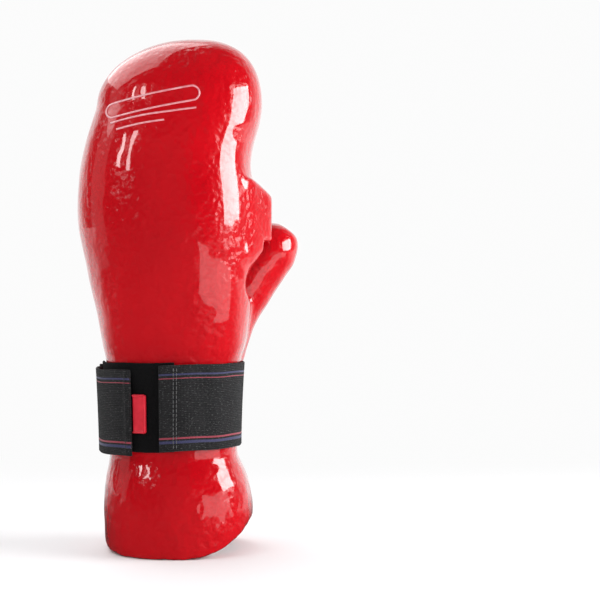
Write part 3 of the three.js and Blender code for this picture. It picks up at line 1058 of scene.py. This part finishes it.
def vinyl_material():
    """Glossy red dipped skin with orange peel and slightly pooled colour."""
    m = Surface("dipped_vinyl", (0.56, 0.006, 0.010), 0.2)
    place = m.place()
    pooled = m.noise(place, 14, 3)
    m.color(m.ramp(pooled, (0.3, (0.44, 0.0006, 0.005)), (0.7, (0.55, 0.003, 0.008))))
    peel = m.noise(place, 340, 2, 0.45)
    dimples = m.noise(place, 170, 1)
    swell = m.noise(m.place((1, 1, 0.6)), 60, 1)
    m.bump((swell, 0.0016), (dimples, 0.0008), (peel, 0.00032))
    return m.set(IOR=1.5, Coat_Weight=1.0, Coat_Roughness=0.03, Coat_IOR=1.5, Specular_IOR_Level=0.2)


def elastic_material(name, base, pale, speck):
    """Ribbed woven elastic with paler threads showing through."""
    m = Surface(name, base, 0.9)
    weave = m.place(weave=True)
    ribs = m.wave(weave, 1000, "Y")
    threads = m.wave(weave, 1250, "X")
    crossing = m.math("MULTIPLY", ribs, threads)
    uneven = m.noise(weave, 90, 3)
    flecks = m.noise(m.place((0.35, 1, 1), weave=True), 1900, 2, 0.7)
    shade = m.math("ADD", m.math("MULTIPLY", crossing, 0.55), m.math("MULTIPLY", uneven, 0.45))
    body = m.ramp(shade, (0.15, base), (0.75, pale))
    fleck = m.math("MULTIPLY", m.math("GREATER_THAN", flecks, 0.63), 0.55)
    mix = m.new("ShaderNodeMix")
    mix.data_type = "RGBA"
    m.link(fleck, mix.inputs[0])
    m.link(body, mix.inputs[6])
    mix.inputs[7].default_value = (*speck, 1)
    m.color(mix.outputs[2])
    m.bump((ribs, 0.00022), (threads, 0.00016), (flecks, 0.0001))
    return m.set(Sheen_Weight=0.06, Sheen_Roughness=0.5, Specular_IOR_Level=0.2)


def fabric_material(name, base, pale, size, depth, rough=0.95):
    """Brushed cloth, loop pile or hook tape: soft clumps with fine fibres on them."""
    m = Surface(name, base, rough)
    place = m.place()
    clumps = m.noise(place, size, 3, 0.6)
    fibres = m.noise(place, size * 4, 2, 0.7)
    m.color(m.ramp(clumps, (0.3, base), (0.75, pale)))
    m.bump((clumps, depth), (fibres, depth / 3))
    return m.set(Sheen_Weight=0.04, Sheen_Roughness=0.6, Specular_IOR_Level=0.1)


def rubber_material():
    """Moulded red tab with a fine matt grain."""
    m = Surface("tab_rubber_red", (0.66, 0.010, 0.030), 0.38)
    grain = m.noise(m.place(), 2600, 2)
    wear = m.noise(m.place(), 260, 2)
    m.color(m.ramp(wear, (0.3, (0.62, 0.009, 0.026)), (0.75, (0.74, 0.016, 0.040))))
    m.bump((grain, 0.00003))
    return m.set(Specular_IOR_Level=0.5, IOR=1.48)


def grained_material(name, color, rough, size, stops, depth, **sockets):
    """A plain material with a fine grain in its colour and relief."""
    m = Surface(name, color, rough)
    grain = m.noise(m.place(), size, 2)
    m.color(m.ramp(grain, *stops))
    m.bump((grain, depth))
    return m.set(**sockets)


def thread_material(name, color):
    pale = tuple(min(c * 1.5 + 0.02, 1) for c in color)
    return grained_material(name, color, 0.75, 2400, ((0.35, color), (0.7, pale)), 0.00006,
                            Sheen_Weight=0.2)


def ink_material():
    """Pale pink print, a little worn."""
    stops = ((0.3, (0.72, 0.22, 0.26)), (0.7, (0.84, 0.40, 0.43)))
    return grained_material("pale_print", (0.80, 0.33, 0.36), 0.3, 500, stops, 0.00004,
                            Coat_Weight=0.6, Coat_Roughness=0.08)


# ---------- camera, floor and lights ----------

CAMERA_DISTANCE = 800.0
CAMERA_HEIGHT = 148.0
CAMERA_ASIDE = 73.0
FRAME_WIDTH = 360.0  # width of the picture at the glove
SENSOR = 36.0
FLOOR_HALF = 4000.0
WHITE = 0.97  # brightness of the background
WORLD_BEHIND = 1.0  # a lit white wall behind the glove
WORLD_FRONT = 0.03  # a dark studio in front of it

# Soft boxes: name, place, aim and size in millimetres, brightness, and False for those that light
# without showing in the gloss.
LIGHTS = [
    ("softbox_right", (900, -120, 410), (0, 0, 200), (620, 410), 12.5),
    ("low_right", (430, -330, 70), (0, 0, 130), (600, 130), 1.7),
    ("dim_left", (-900, -50, 250), (0, 0, 180), (420, 900), 0.35),
    ("overhead_left", (-430, 200, 900), (0, 0, 230), (1000, 800), 2.0),
    ("strip_left_a", (-740, -560, 560), (0, 0, 240), (80, 300), 12),
    ("strip_left_b", (-590, -700, 560), (0, 0, 240), (80, 300), 10),
    ("front_fill", (-100, -1300, 450), (0, 0, 120), (1000, 1000), 1.35, False),
    ("floor_fill", (0, 0, 1800), (0, 0, 0), (2600, 2600), 0.7, False),
]


def make_camera():
    data = bpy.data.cameras.new("camera")
    data.sensor_width = SENSOR
    data.lens = SENSOR * CAMERA_DISTANCE / FRAME_WIDTH
    data.clip_start = 0.01
    camera = add_to_scene("camera", data)
    camera.location = to_frame((CAMERA_ASIDE, -CAMERA_DISTANCE, CAMERA_HEIGHT))
    camera.rotation_euler = (math.radians(90), 0, 0)
    bpy.context.scene.camera = camera


def area_light(name, place, aim, size, radiance, glossy=True):
    data = bpy.data.lights.new(name, "AREA")
    data.shape = "RECTANGLE"
    data.size, data.size_y = size[0] * MM, size[1] * MM
    data.energy = radiance * math.pi * data.size * data.size_y
    lamp = add_to_scene(name, data)
    lamp.location = to_frame(place)
    lamp.rotation_euler = (to_frame(aim) - lamp.location).to_track_quat("-Z", "Y").to_euler()
    lamp.visible_glossy = glossy


def make_floor():
    """A pale floor that fades into the white background, dim where the gloss would mirror it."""
    m = Surface("pale_floor", (0.9, 0.9, 0.91), 0.6)
    m.set(Specular_IOR_Level=0.1)
    parts = m.feed(m.new("ShaderNodeSeparateXYZ"), m.place())
    middle = m.new("ShaderNodeVectorMath")
    middle.operation = "LENGTH"
    m.feed(middle, m.place())
    behind = m.fade(parts.outputs["Y"], 0.02, 0.45)
    far_away = m.fade(middle.outputs["Value"], 0.30, 0.90)
    rays = m.new("ShaderNodeLightPath")
    mirrored = m.math("MULTIPLY", rays.outputs["Is Glossy Ray"], m.math("SUBTRACT", 1, behind))
    white = m.new("ShaderNodeEmission", Strength=WHITE).outputs["Emission"]
    dim = m.new("ShaderNodeEmission", Strength=0.05).outputs["Emission"]
    faded = m.mix_shaders(m.math("MAXIMUM", behind, far_away), m.principled.outputs["BSDF"], white)
    m.link(m.mix_shaders(mirrored, faded, dim), m.tree.nodes["Material Output"].inputs["Surface"])
    corners = [(x * FLOOR_HALF, y * FLOOR_HALF, 0) for x, y in ((-1, -1), (1, -1), (1, 1), (-1, 1))]
    ground = new_object("floor", corners, [(0, 1, 2, 3)])
    ground.data.materials.append(m.material)


def make_world():
    """White all round for the camera; for the gloss, white behind the glove and dim in front."""
    world = bpy.context.scene.world or bpy.data.worlds.new("studio")
    bpy.context.scene.world = world
    world.use_nodes = True
    world.node_tree.nodes.clear()
    m = Nodes(world.node_tree)
    parts = m.feed(m.new("ShaderNodeSeparateXYZ"), m.new("ShaderNodeTexCoord").outputs["Generated"])
    behind = m.fade(parts.outputs["Y"], 0.35, 0.75, WORLD_FRONT, WORLD_BEHIND)
    rays = m.new("ShaderNodeLightPath")
    strength = m.new("ShaderNodeMix")
    m.link(rays.outputs["Is Camera Ray"], strength.inputs[0])
    m.link(behind, strength.inputs[2])
    strength.inputs[3].default_value = WHITE
    background = m.new("ShaderNodeBackground", Color=(1, 1, 1, 1))
    m.link(strength.outputs[0], background.inputs["Strength"])
    m.link(background.outputs["Background"], m.new("ShaderNodeOutputWorld").inputs["Surface"])


def make_studio():
    make_floor()
    make_world()
    bpy.context.scene.view_settings.view_transform = "Standard"
    for light in LIGHTS:
        area_light(*light)


# ---------- assembly ----------

make_camera()
make_studio()

vinyl = vinyl_material()
charcoal = elastic_material("charcoal_elastic", (0.008, 0.008, 0.009), (0.030, 0.030, 0.031),
                            (0.16, 0.16, 0.16))
navy = thread_material("navy_thread", (0.018, 0.018, 0.070))
red_thread = thread_material("red_thread", (0.22, 0.018, 0.036))
black_elastic = elastic_material("black_elastic", (0.010, 0.010, 0.011), (0.026, 0.026, 0.028),
                                 (0.08, 0.08, 0.08))
black_pile = fabric_material("black_pile", (0.0015, 0.0015, 0.0018), (0.006, 0.006, 0.0065),
                             1400, 0.0003, 1.0)
black_hook = fabric_material("black_hook", (0.006, 0.006, 0.007), (0.022, 0.022, 0.024),
                             1900, 0.0002, 0.7)
brushed = fabric_material("brushed_lining", (0.012, 0.012, 0.013), (0.035, 0.035, 0.037), 700, 0.0002)
grey_stitch = thread_material("grey_stitch", (0.085, 0.085, 0.088))
black_stitch = thread_material("black_stitch", (0.020, 0.020, 0.021))
rubber = rubber_material()
ink = ink_material()

whole = whole_shell()
whole_surface = surface_tree(whole)
prints = [
    print_line("print_bar_outline", whole_surface, bar_outline(), closed=True),
    print_line("print_line_upper", whole_surface, UPPER_LINE),
    print_line("print_line_lower", whole_surface, LOWER_LINE),
]
hand, fingers, thumb = split_shell(whole)
remove(whole)

for foam, node in ((hand, "hand_shell"), (fingers, "finger_shell"), (thumb, "thumb_shell")):
    dress(foam, "dipped_foam", vinyl, node=node)
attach(hand, "hand")
bend_with_fingers(fingers)
bend_with_thumb(thumb)
for line in prints:
    dress(line, "dipped_foam", ink, body="fingers")

strap_materials = (charcoal, navy, red_thread)
wrap = strap("strap_wrap_elastic", FIXED_END, 360 + STRAP_HINGE - 0.6, wrap_inner, fixed_hem, wrap_low)
dress(wrap, "elastic_webbing", *strap_materials, body="hand", node="strap_wrap")
flap = strap("strap_flap_elastic", STRAP_HINGE + 0.6, FREE_EDGE, steady(FLAP_INNER), free_hem, flap_low)
dress(flap, "elastic_webbing", *strap_materials, body="strap_end", node="strap_flap")
pile = tape("loop_pile_strip", PILE, GAP, wavy(PILE["low"]))
dress(pile, "loop_pile", black_pile, body="hand", node="pile_strip")
hooks = tape("hook_tape_patch", HOOK, HOOK_INNER, steady(HOOK["low"]))
dress(hooks, "hook_tape", black_hook, body="strap_end", node="hook_patch")
dress(pull_tab(), "tab_rubber", rubber, body="tab", node="pull_tab")

hem_angle = FIXED_END + HEM_FIXED * DEGREES_PER_MM_SEWN
for index, angle in enumerate((hem_angle - 0.6, hem_angle + 1.1)):
    row = band_stitches(f"sewn_end_stitches_{index + 1}", angle, wrap_inner, fixed_hem(angle), wrap_low)
    dress(row, "elastic_webbing", grey_stitch, body="hand")
row = band_stitches("free_end_stitches", FREE_EDGE - (HEM_FREE - 1) * DEGREES_PER_MM,
                    steady(FLAP_INNER), free_hem(FREE_EDGE - 4), flap_low)
dress(row, "elastic_webbing", black_stitch, body="strap_end")

for name in FINGER_LOOPS:
    dress(finger_loop(name), "elastic_webbing", black_elastic, body="fingers",
          node=f"{name}_finger_loop")
dress(loop_anchor(), "lining_fabric", brushed, body="fingers", node="finger_loop_anchor")
bend_with_thumb(dress(thumb_loop(), "elastic_webbing", black_elastic, node="thumb_loop"))
bend_with_fingers(dress(palm_band(), "elastic_webbing", black_elastic, node="palm_band"))
for side, end, inward in (("little", PALM_PATH[0], 2.3), ("thumb", PALM_PATH[-1], -2.3)):
    patch = palm_patch(f"palm_patch_{side}_side", end, inward)
    bend_with_fingers(dress(patch, "lining_fabric", brushed, node=f"palm_band_patch_{side}"))

hand_cloth = dress(lining("hand_lining_cloth", 22, 224), "lining_fabric", brushed, node="hand_lining")
bend_with_fingers(hand_cloth)
finger_cloth = dress(lining("finger_lining_cloth", 232, 284), "lining_fabric", brushed, body="fingers",
                     node="finger_lining")
